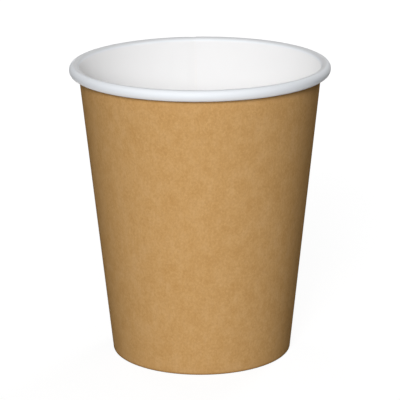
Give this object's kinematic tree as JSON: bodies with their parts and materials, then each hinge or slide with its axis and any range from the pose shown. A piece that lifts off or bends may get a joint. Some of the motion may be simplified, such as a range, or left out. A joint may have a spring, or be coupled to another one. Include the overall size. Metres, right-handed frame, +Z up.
{
  "type": "paper coffee cup",
  "caption": "Single-wall paper hot cup with a rolled rim, a lapped side seam and a skirted base held in a folded hem.",
  "frame": {"origin": "centre of the foot ring, on the plane that the cup stands on", "axes": "+Z up along the cup's axis towards the open rim, +Y towards the side seam at the back"},
  "size_m": [0.08, 0.08, 0.0915],
  "materials": {
    "kraft_board": "matte",
    "white_board": "matte"
  },
  "bodies": {
    "root": {"side_wall": "kraft_board", "base": "white_board"}
  },
  "joints": []
}
